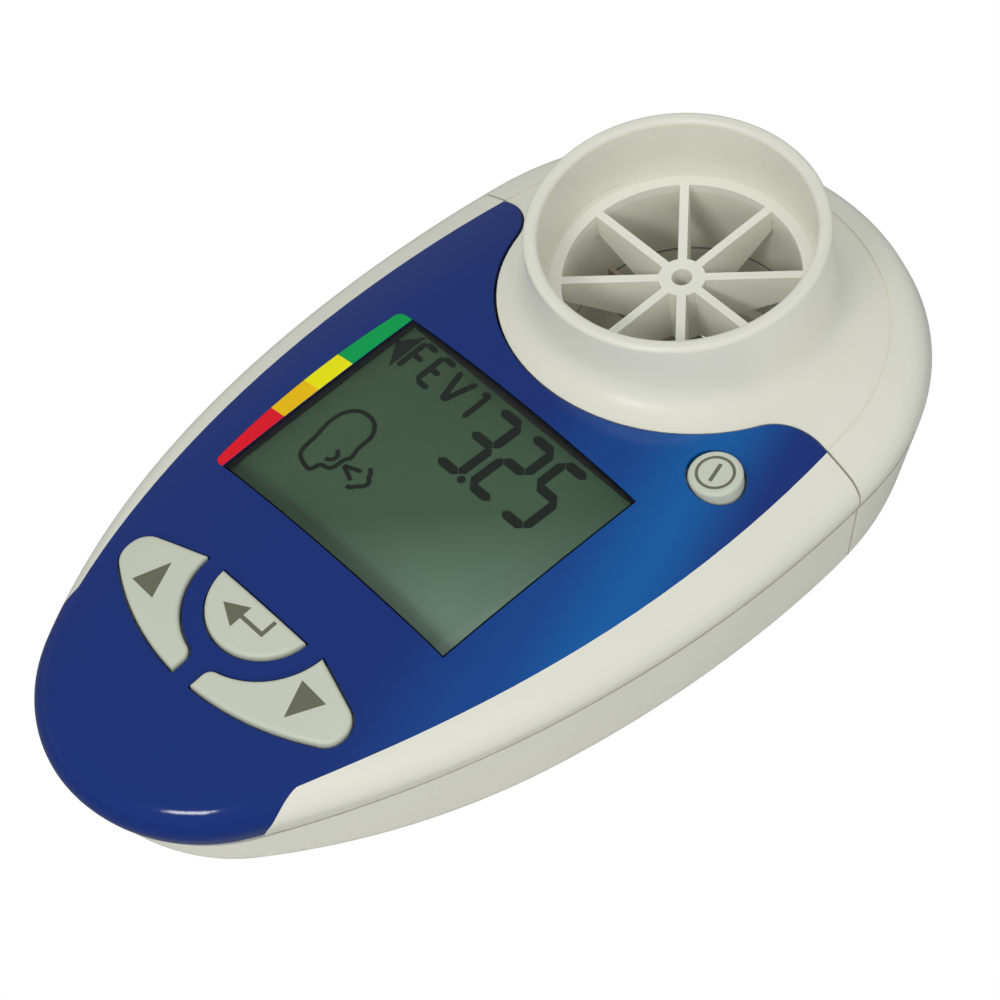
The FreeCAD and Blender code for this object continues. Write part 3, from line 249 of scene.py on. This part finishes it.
ivory = moulded("ivory_moulding", srgb(240, 240, 225), 0.34, mottle=0.05, grain=0.3)
# Painted shade: a darker band painted into the ivory at the parting height, standing in for the shadow in
# the seam groove.
parting_height, parting_shadow, shadow_colour = 12.6 * MM, 0.17 * MM, srgb(150, 150, 136)
ivory_nodes, ivory_links = ivory.node_tree.nodes, ivory.node_tree.links
seam_place = ivory_nodes.new("ShaderNodeTexCoord")
seam_axis = ivory_nodes.new("ShaderNodeSeparateXYZ")
seam_shade_band = ivory_nodes.new("ShaderNodeMath")
seam_shade_band.operation = "COMPARE"
seam_shade_band.inputs[1].default_value = parting_height
seam_shade_band.inputs[2].default_value = parting_shadow
seam_painted_shade = ivory_nodes.new("ShaderNodeMix")
seam_painted_shade.data_type = "RGBA"
seam_painted_shade.inputs["B"].default_value = shadow_colour
ivory_links.new(seam_place.outputs["Object"], seam_axis.inputs["Vector"])
ivory_links.new(seam_axis.outputs["Z"], seam_shade_band.inputs[0])
ivory_links.new(seam_shade_band.outputs["Value"], seam_painted_shade.inputs["Factor"])
ivory_links.new(ivory_nodes["surface"].outputs["Colour"], seam_painted_shade.inputs["A"])
ivory_links.new(seam_painted_shade.outputs["Result"], ivory_nodes["Principled BSDF"].inputs["Base Color"])
for node in ("upper_housing", "lower_housing", "battery_door", "flowhead_upper", "flowhead_lower"):
    finish_node(node, ivory)


# Front fascia: one deep blue, highly polished moulding that covers the face and wraps over the nose.
# Its blue is painted lightest in a band that slants past the power key, a painted sheen, and deep again at
# the right rim.
fascia_blue = moulded("fascia_blue", srgb(14, 52, 136), 0.12, mottle=0.10, spread=0.04, grain_size=900.0,
                      grain=0.06)
# Painted sheen: the blue's colour is painted lighter in a slanting band across the face, standing in for a
# reflection of the lamps.
painted_sheen_run, painted_sheen_start, painted_sheen_end = (1.0, 0.35, 0), 4.0 * MM, 33.0 * MM
fascia_nodes, fascia_links = fascia_blue.node_tree.nodes, fascia_blue.node_tree.links
fascia_place = fascia_nodes.new("ShaderNodeTexCoord")
fascia_axis = fascia_nodes.new("ShaderNodeVectorMath")
fascia_axis.operation = "DOT_PRODUCT"
fascia_axis.inputs[1].default_value = painted_sheen_run
fascia_share = fascia_nodes.new("ShaderNodeMapRange")
fascia_share.inputs["From Min"].default_value = painted_sheen_start
fascia_share.inputs["From Max"].default_value = painted_sheen_end
fascia_sheen_ramp = fascia_nodes.new("ShaderNodeValToRGB")
fascia_sheen_ramp.color_ramp.interpolation = "EASE"
fascia_sheen_ramp.color_ramp.elements[0].color = srgb(16, 49, 125)
fascia_sheen_ramp.color_ramp.elements[1].color = srgb(20, 50, 126)
fascia_sheen_ramp.color_ramp.elements.new(0.4).color = srgb(6, 70, 148)
fascia_sheen_ramp.color_ramp.elements.new(0.72).color = srgb(6, 96, 172)
fascia_links.new(fascia_place.outputs["Object"], fascia_axis.inputs[0])
fascia_links.new(fascia_axis.outputs["Value"], fascia_share.inputs["Value"])
fascia_links.new(fascia_share.outputs["Result"], fascia_sheen_ramp.inputs["Fac"])
fascia_links.new(fascia_sheen_ramp.outputs["Color"], fascia_nodes["surface"].inputs["Colour"])
finish_node("front_fascia", fascia_blue)


# Keys: pale grey-cream satin caps that stand a little proud, with olive-grey marks printed on them.
def placed_at(nodes, links, outline):
    """A mask that is 1 inside a convex outline given in millimetres in plan, clockwise or not."""
    place = nodes.new("ShaderNodeTexCoord")
    middle = sum((Vector(point) for point in outline), Vector((0, 0))) / len(outline)
    mask = None
    for step, point in enumerate(outline):
        first, second = Vector(point), Vector(outline[(step + 1) % len(outline)])
        across = Vector((first.y - second.y, second.x - first.x)).normalized()
        if across.dot(middle - first) < 0:
            across = -across
        side = nodes.new("ShaderNodeVectorMath")
        side.operation = "DOT_PRODUCT"
        side.inputs[1].default_value = (across.x, across.y, 0)
        links.new(place.outputs["Object"], side.inputs[0])
        within = nodes.new("ShaderNodeMath")
        within.operation = "GREATER_THAN"
        within.inputs[1].default_value = across.dot(first) * MM
        links.new(side.outputs["Value"], within.inputs[0])
        if mask is None:
            mask = within.outputs["Value"]
        else:
            both = nodes.new("ShaderNodeMath")
            both.operation = "MULTIPLY"
            links.new(mask, both.inputs[0])
            links.new(within.outputs["Value"], both.inputs[1])
            mask = both.outputs["Value"]
    return mask


def ring_at(nodes, links, x, y, inner, outer):
    """A mask that is 1 inside a ring about a place in plan, in millimetres."""
    place = nodes.new("ShaderNodeTexCoord")
    flat = nodes.new("ShaderNodeVectorMath")
    flat.operation = "MULTIPLY"
    flat.inputs[1].default_value = (1, 1, 0)
    links.new(place.outputs["Object"], flat.inputs[0])
    reach = nodes.new("ShaderNodeVectorMath")
    reach.operation = "DISTANCE"
    reach.inputs[1].default_value = (x * MM, y * MM, 0)
    links.new(flat.outputs["Vector"], reach.inputs[0])
    band = nodes.new("ShaderNodeMath")
    band.operation = "COMPARE"
    band.inputs[1].default_value = (inner + outer) / 2 * MM
    band.inputs[2].default_value = (outer - inner) / 2 * MM
    links.new(reach.outputs["Value"], band.inputs[0])
    return band.outputs["Value"]


MARK_INK = srgb(112, 114, 92)
CAP_COLOUR = srgb(213, 218, 199)
POWER_RING = {"x": 21.0, "y": 15.4, "inner": 1.85, "outer": 2.2}
KEY_MARKS = {
    "up_key": [[(-11.63, -32.88), (-13.45, -37.0), (-9.75, -37.2)]],
    "down_key": [[(9.9, -33.0), (13.75, -33.1), (11.72, -37.2)]],
    "enter_key": [[(-3.47, -32.47), (-0.58, -30.95), (-0.54, -34.03)],
                  [(-0.7, -32.12), (2.95, -32.12), (2.95, -32.62), (-0.7, -32.62)],
                  [(2.45, -30.4), (2.95, -30.4), (2.95, -32.62), (2.45, -32.62)]],
    "power_key": [[(20.85, 16.66), (21.58, 14.27), (21.15, 14.14), (20.42, 16.53)]],
}
for node, outlines in KEY_MARKS.items():
    key_finish = moulded(node + "_cap", CAP_COLOUR, 0.42, mottle=0.05, grain=0.5)
    key_nodes, key_links = key_finish.node_tree.nodes, key_finish.node_tree.links
    printed = None
    masks = [placed_at(key_nodes, key_links, outline) for outline in outlines]
    if node == "power_key":
        masks.append(ring_at(key_nodes, key_links, **POWER_RING))
    for mask in masks:
        if printed is None:
            printed = mask
            continue
        either = key_nodes.new("ShaderNodeMath")
        either.operation = "MAXIMUM"
        key_links.new(printed, either.inputs[0])
        key_links.new(mask, either.inputs[1])
        printed = either.outputs["Value"]
    inked = key_nodes.new("ShaderNodeMix")
    inked.data_type = "RGBA"
    inked.inputs["B"].default_value = MARK_INK
    key_links.new(printed, inked.inputs["Factor"])
    key_links.new(key_nodes["surface"].outputs["Colour"], inked.inputs["A"])
    key_links.new(inked.outputs["Result"], key_nodes["Principled BSDF"].inputs["Base Color"])
    finish_node(node, key_finish)


# Display window: a clear polished lens let into the fascia, flush with it, its edges painted black
# so that no light leaks in from the side.
lens = bpy.data.materials.new("clear_lens")
lens.use_nodes = True
lens_nodes, lens_links = lens.node_tree.nodes, lens.node_tree.links
lens_shader = lens_nodes["Principled BSDF"]
lens_shader.inputs["Base Color"].default_value = (0.97, 0.99, 0.98, 1)
lens_shader.inputs["Transmission Weight"].default_value = 1.0
lens_shader.inputs["IOR"].default_value = 1.45
haze_scale, least_haze, most_haze = 160.0, 0.02, 0.03
haze = lens_nodes.new("ShaderNodeTexNoise")
haze.inputs["Scale"].default_value = haze_scale
haze_place = lens_nodes.new("ShaderNodeTexCoord")
haze_range = lens_nodes.new("ShaderNodeMapRange")
haze_range.inputs["To Min"].default_value = least_haze
haze_range.inputs["To Max"].default_value = most_haze
lens_links.new(haze_place.outputs["Object"], haze.inputs["Vector"])
lens_links.new(haze.outputs["Fac"], haze_range.inputs["Value"])
lens_links.new(haze_range.outputs["Result"], lens_shader.inputs["Roughness"])
lens_clear = lens_nodes.new("ShaderNodeBsdfTransparent")
lens_path = lens_nodes.new("ShaderNodeLightPath")
lens_mix = lens_nodes.new("ShaderNodeMixShader")
lens_links.new(lens_path.outputs["Is Shadow Ray"], lens_mix.inputs["Fac"])
lens_links.new(lens_shader.outputs["BSDF"], lens_mix.inputs[1])
lens_links.new(lens_clear.outputs["BSDF"], lens_mix.inputs[2])
lens_low, lens_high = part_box("display_window")
lens_edge = 0.12 * MM
lens_rim = None
lens_axes = lens_nodes.new("ShaderNodeSeparateXYZ")
lens_links.new(haze_place.outputs["Object"], lens_axes.inputs["Vector"])
for axis, row in (("X", 0), ("Y", 1)):
    for limit, side in ((lens_low[row] + lens_edge, "LESS_THAN"),
                        (lens_high[row] - lens_edge, "GREATER_THAN")):
        beyond = lens_nodes.new("ShaderNodeMath")
        beyond.operation = side
        beyond.inputs[1].default_value = limit
        lens_links.new(lens_axes.outputs[axis], beyond.inputs[0])
        if lens_rim is None:
            lens_rim = beyond.outputs["Value"]
            continue
        either_side = lens_nodes.new("ShaderNodeMath")
        either_side.operation = "MAXIMUM"
        lens_links.new(lens_rim, either_side.inputs[0])
        lens_links.new(beyond.outputs["Value"], either_side.inputs[1])
        lens_rim = either_side.outputs["Value"]
edge_paint = lens_nodes.new("ShaderNodeBsdfDiffuse")
edge_paint.inputs["Color"].default_value = srgb(14, 14, 18)
lens_painted = lens_nodes.new("ShaderNodeMixShader")
lens_links.new(lens_rim, lens_painted.inputs["Fac"])
lens_links.new(lens_mix.outputs["Shader"], lens_painted.inputs[1])
lens_links.new(edge_paint.outputs["BSDF"], lens_painted.inputs[2])
lens_links.new(lens_painted.outputs["Shader"], lens_nodes["Material Output"].inputs["Surface"])
finish_node("display_window", lens)


# Coloured zones: a glossy strip along the window's left edge, printed in four steps from the
# keys' end to the flowhead's end: red, amber, yellow, green.
zone_ink = moulded("zone_ink", srgb(230, 30, 45), 0.3, mottle=0.03, grain=0.08, specular=0.2)
strip_start, strip_end = -20.7 * MM, 6.8 * MM
amber_from, yellow_from, green_from = 0.324, 0.502, 0.680
zone_nodes, zone_links = zone_ink.node_tree.nodes, zone_ink.node_tree.links
zone_place = zone_nodes.new("ShaderNodeTexCoord")
zone_axis = zone_nodes.new("ShaderNodeSeparateXYZ")
zone_share = zone_nodes.new("ShaderNodeMapRange")
zone_share.inputs["From Min"].default_value = strip_start
zone_share.inputs["From Max"].default_value = strip_end
zone_ramp = zone_nodes.new("ShaderNodeValToRGB")
zone_ramp.color_ramp.interpolation = "CONSTANT"
zone_ramp.color_ramp.elements[0].color = srgb(242, 22, 42)
zone_ramp.color_ramp.elements[1].position = amber_from
zone_ramp.color_ramp.elements[1].color = srgb(255, 206, 0)
for position, colour in ((yellow_from, srgb(255, 250, 6)), (green_from, srgb(0, 172, 86))):
    zone_ramp.color_ramp.elements.new(position).color = colour
zone_links.new(zone_place.outputs["Object"], zone_axis.inputs["Vector"])
zone_links.new(zone_axis.outputs["Y"], zone_share.inputs["Value"])
zone_links.new(zone_share.outputs["Result"], zone_ramp.inputs["Fac"])
zone_links.new(zone_ramp.outputs["Color"], zone_nodes["surface"].inputs["Colour"])
finish_node("zone_strip", zone_ink)


# Display panel: grey-green liquid crystal glass, painted paler towards its lower right corner as painted
# light, held by a black foam gasket that lines the window's recess.
crystal = moulded("crystal_glass", srgb(110, 138, 112), 0.4, mottle=0.03, spread=0.02, grain_size=600.0,
                  grain=0.02, specular=0.2)
# Painted light: the glass's one colour is painted darker on the left and paler towards the lower right
# corner.
painted_light_towards, painted_light_start, painted_light_end = (0.72, -0.69, 0), -14.0 * MM, 22.0 * MM
crystal_nodes, crystal_links = crystal.node_tree.nodes, crystal.node_tree.links
crystal_place = crystal_nodes.new("ShaderNodeTexCoord")
crystal_slope = crystal_nodes.new("ShaderNodeVectorMath")
crystal_slope.operation = "DOT_PRODUCT"
crystal_slope.inputs[1].default_value = painted_light_towards
crystal_share = crystal_nodes.new("ShaderNodeMapRange")
crystal_share.inputs["From Min"].default_value = painted_light_start
crystal_share.inputs["From Max"].default_value = painted_light_end
crystal_painted_light_ramp = crystal_nodes.new("ShaderNodeValToRGB")
crystal_painted_light_ramp.color_ramp.elements[0].color = srgb(62, 92, 62)
crystal_painted_light_ramp.color_ramp.elements[1].color = srgb(124, 156, 136)
crystal_painted_light_ramp.color_ramp.elements.new(0.6).color = srgb(72, 104, 76)
crystal_links.new(crystal_place.outputs["Object"], crystal_slope.inputs[0])
crystal_links.new(crystal_slope.outputs["Value"], crystal_share.inputs["Value"])
crystal_links.new(crystal_share.outputs["Result"], crystal_painted_light_ramp.inputs["Fac"])
crystal_links.new(crystal_painted_light_ramp.outputs["Color"], crystal_nodes["surface"].inputs["Colour"])
finish_node("display_panel", crystal)
finish_node("display_gasket", moulded("gasket_foam", srgb(40, 40, 38), 0.9, mottle=0.3,
                                      grain_size=1500.0, grain=0.3, specular=0.1))


# Display marks: the dark shapes that the panel shows now, a reading in seven-bar figures, its label,
# a pointer to the zones and a sign for blowing out. Each bar is a thin film on the glass.
panel_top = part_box("display_panel")[1][2] / MM
film_lift, film_thickness = 0.02, 0.04
film_level = (panel_top + film_lift) * MM
liquid_black = moulded("liquid_black", srgb(8, 20, 10), 0.6, mottle=0.2, grain=0.05, specular=0.1)


point_share = 0.46


def bar(start, end, width):
    """One straight bar between two places in plan, with pointed ends."""
    start, end = Vector(start), Vector(end)
    run = end - start
    middle = (start + end) / 2 * MM
    bpy.ops.mesh.primitive_plane_add(size=1.0, location=(middle.x, middle.y, film_level),
                                     rotation=(0, 0, math.atan2(run.y, run.x)))
    made = bpy.context.object
    made.scale = (run.length * MM, width * MM, 1)
    bpy.ops.object.transform_apply(location=True, rotation=True, scale=True)
    bpy.ops.object.mode_set(mode="EDIT")
    bpy.ops.mesh.select_all(action="SELECT")
    bpy.ops.mesh.bevel(offset=width * point_share * MM, affect="VERTICES")
    bpy.ops.object.mode_set(mode="OBJECT")
    return made


def flat_shape(outline):
    """A flat face with any outline in plan."""
    bpy.ops.mesh.primitive_circle_add(vertices=len(outline), radius=MM, fill_type="NGON", location=(0, 0, 0))
    made = bpy.context.object
    for vertex, (x, y) in zip(made.data.vertices, outline):
        vertex.co = (x * MM, y * MM, film_level)
    return made


def rounded_line(points):
    """The same open or closed line with its corners cut twice, so that it runs in curves."""
    closed = points[0] == points[-1]
    points = [Vector(point) for point in points]
    for _ in range(2):
        cut = [] if closed else [points[0]]
        for first, second in zip(points, points[1:]):
            cut += [first.lerp(second, 0.25), first.lerp(second, 0.75)]
        points = cut + [cut[0] if closed else points[-1]]
    return points


def stroke(points, width):
    """A flat ribbon of one width along a line in plan."""
    points = rounded_line(points)
    closed = points[0] == points[-1]
    count = len(points)
    bpy.ops.mesh.primitive_grid_add(x_subdivisions=count - 1, y_subdivisions=1, size=MM)
    made = bpy.context.object
    for step, point in enumerate(points):
        before = points[step - 1] if step else (points[-2] if closed else point)
        after = points[step + 1] if step < count - 1 else (points[1] if closed else point)
        run = (after - before).normalized() * width / 2
        for row, side in ((0, 1), (1, -1)):
            made.data.vertices[row * count + step].co = (
                (point.x + side * run.y) * MM, (point.y - side * run.x) * MM, film_level)
    return made


def join_film(name, parts):
    """Joins flat parts to one thin film that lies on the panel."""
    start_fresh()
    for part in parts:
        part.select_set(True)
    bpy.context.view_layer.objects.active = parts[0]
    if len(parts) > 1:
        bpy.ops.object.join()
    film = bpy.context.object
    film.name = name
    bpy.ops.object.mode_set(mode="EDIT")
    bpy.ops.mesh.select_all(action="SELECT")
    bpy.ops.mesh.normals_make_consistent(inside=False)
    bpy.ops.object.mode_set(mode="OBJECT")
    if film.data.polygons[0].normal.z < 0:
        film.data.flip_normals()
    solidify = film.modifiers.new("thickness", "SOLIDIFY")
    solidify.thickness = film_thickness * MM
    solidify.offset = 1.0
    bpy.ops.object.modifier_apply(modifier=solidify.name)
    film.data.materials.clear()
    film.data.materials.append(liquid_black)
    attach(film, "case")


FIGURE_BARS = {
    "top": ((0.2, 9.0), (3.32, 9.0)),
    "middle": ((0.2, 4.85), (3.32, 4.85)),
    "bottom": ((0.2, 0.0), (3.32, 0.0)),
    "upper_left": ((0.12, 4.93), (0.12, 8.92)),
    "upper_right": ((3.4, 4.93), (3.4, 8.92)),
    "lower_left": ((0.12, 0.08), (0.12, 4.77)),
    "lower_right": ((3.4, 0.08), (3.4, 4.77)),
}
FIGURES = {
    3: ("top", "upper_right", "middle", "lower_right", "bottom"),
    2: ("top", "upper_right", "middle", "lower_left", "bottom"),
    5: ("top", "upper_left", "middle", "lower_right", "bottom"),
}
FIGURE_PLACES = ((3, -3.2), (2, 1.95), (5, 7.1))
figure_bar_width, figure_slant, figure_foot = 1.15, 0.03, -3.0
point_radius, point_place = 0.5, (0.97, -3.25)
start_fresh()
figure_parts = []
for figure, left in FIGURE_PLACES:
    for place in FIGURES[figure]:
        ends = [(x + left + figure_slant * y, y + figure_foot) for x, y in FIGURE_BARS[place]]
        figure_parts.append(bar(ends[0], ends[1], figure_bar_width))
bpy.ops.mesh.primitive_circle_add(vertices=24, radius=point_radius * MM, fill_type="NGON",
                                  location=(point_place[0] * MM, point_place[1] * MM, film_level))
bpy.ops.object.transform_apply(location=True)
figure_parts.append(bpy.context.object)
join_film("reading_figures", figure_parts)

LABEL_BARS = [
    ((-15.6, 2.2), (-15.6, 6.5)), ((-15.5, 6.5), (-13.7, 6.5)), ((-15.5, 4.5), (-14.0, 4.5)),
    ((-12.7, 2.4), (-12.7, 6.5)), ((-12.6, 6.5), (-10.8, 6.5)), ((-12.6, 4.5), (-11.2, 4.5)),
    ((-12.6, 2.4), (-10.8, 2.4)),
    ((-9.8, 6.6), (-8.6, 2.4)), ((-7.3, 6.6), (-8.5, 2.4)),
    ((-5.1, 2.4), (-5.1, 6.6)), ((-5.9, 5.9), (-5.1, 6.6)),
]
label_bar_width = 0.72
start_fresh()
join_film("reading_label", [bar(start, end, label_bar_width) for start, end in LABEL_BARS])

start_fresh()
join_film("zone_pointer", [flat_shape([(-18.2, 4.4), (-16.2, 7.1), (-16.2, 1.5)])])

BLOWING_LINES = [
    [(-13.3, -4.5), (-14.3, -5.0), (-15.0, -6.0), (-15.3, -7.3), (-15.2, -8.7), (-14.8, -10.2),
     (-14.6, -12.7), (-13.8, -13.4), (-12.3, -13.8), (-11.8, -13.6), (-11.7, -12.4), (-10.5, -12.2),
     (-10.2, -11.6), (-10.2, -10.1), (-9.7, -9.7), (-10.3, -8.1), (-10.2, -6.4), (-10.9, -5.1),
     (-12.0, -4.5), (-13.3, -4.5)],
    [(-11.7, -9.9), (-11.0, -10.4), (-11.1, -11.2), (-11.8, -11.6)],
    [(-9.6, -10.8), (-7.6, -10.0)], [(-9.6, -10.8), (-7.6, -11.6)],
    [(-7.3, -9.1), (-6.7, -9.4), (-6.5, -10.0), (-5.8, -10.4), (-6.0, -11.3), (-6.5, -11.6), (-6.9, -12.3),
     (-7.4, -12.4)],
]
sign_line_width = 0.52
start_fresh()
join_film("blowing_sign", [stroke(line, sign_line_width) for line in BLOWING_LINES])


# Circuit board and what it carries: green glass-fibre laminate with fine tracks, black parts, a
# grey silicone key mat. All of it is hidden inside the case.
laminate = moulded("green_laminate", srgb(24, 92, 52), 0.4, mottle=0.3, grain_size=1200.0, grain=0.3)
track_scale = 300.0
laminate_nodes, laminate_links = laminate.node_tree.nodes, laminate.node_tree.links
track_place = laminate_nodes.new("ShaderNodeTexCoord")
tracks = laminate_nodes.new("ShaderNodeTexBrick")
tracks.inputs["Scale"].default_value = track_scale
tracks.inputs["Color1"].default_value = srgb(24, 92, 52)
tracks.inputs["Color2"].default_value = srgb(30, 104, 60)
tracks.inputs["Mortar"].default_value = srgb(60, 140, 84)
laminate_links.new(track_place.outputs["Object"], tracks.inputs["Vector"])
laminate_links.new(tracks.outputs["Color"], laminate_nodes["surface"].inputs["Colour"])
finish_node("circuit_board", laminate)
finish_node("keypad_mat", moulded("mat_silicone", srgb(150, 152, 146), 0.6, mottle=0.1, grain=0.6))
black_part = moulded("black_part", srgb(30, 30, 32), 0.45, mottle=0.1)
for node in ("power_switch", "buzzer"):
    finish_node(node, black_part)
smoked = moulded("smoked_resin", srgb(58, 38, 48), 0.15, mottle=0.1, grain=0.1, coat=0.3)
for node in ("infrared_emitter", "infrared_detector"):
    finish_node(node, smoked)
finish_node("display_connector", moulded("striped_rubber", srgb(196, 120, 128), 0.6, mottle=0.3))


# Batteries and contacts: two printed cells between nickel-plated plates and coiled springs.
cell_sleeve = moulded("cell_sleeve", srgb(40, 40, 44), 0.3, mottle=0.05, coat=0.3)
for node in ("left_battery_cell", "right_battery_cell"):
    finish_node(node, cell_sleeve)
nickel = moulded("nickel_plate", srgb(198, 196, 190), 0.25, mottle=0.1, grain=0.2, metallic=1.0)
for node in ("battery_plates", "battery_springs", "housing_screws", "rotor_shaft"):
    finish_node(node, nickel)


# Turbine: a swirl plate at each end of the flowhead's duct, ivory painted whiter as painted light, and
# between them a thin tan film rotor on a steel shaft that turns in two ruby bearings.
# Painted light: the swirl plates are painted whiter than the case ivory, standing in for the light that
# reaches into the duct.
swirl_white_painted_light = moulded("swirl_white_painted_light", srgb(250, 250, 238), 0.32, mottle=0.04, grain=0.25)
for node in ("inlet_swirl_plate", "outlet_swirl_plate"):
    finish_node(node, swirl_white_painted_light)
finish_node("rotor_vane", moulded("rotor_film", srgb(176, 164, 142), 0.4, mottle=0.1))
ruby = moulded("ruby_jewel", srgb(150, 24, 44), 0.08, mottle=0.1, grain=0.05, coat=0.5)
for node in ("upper_bearing", "lower_bearing"):
    finish_node(node, ruby)


start_fresh()
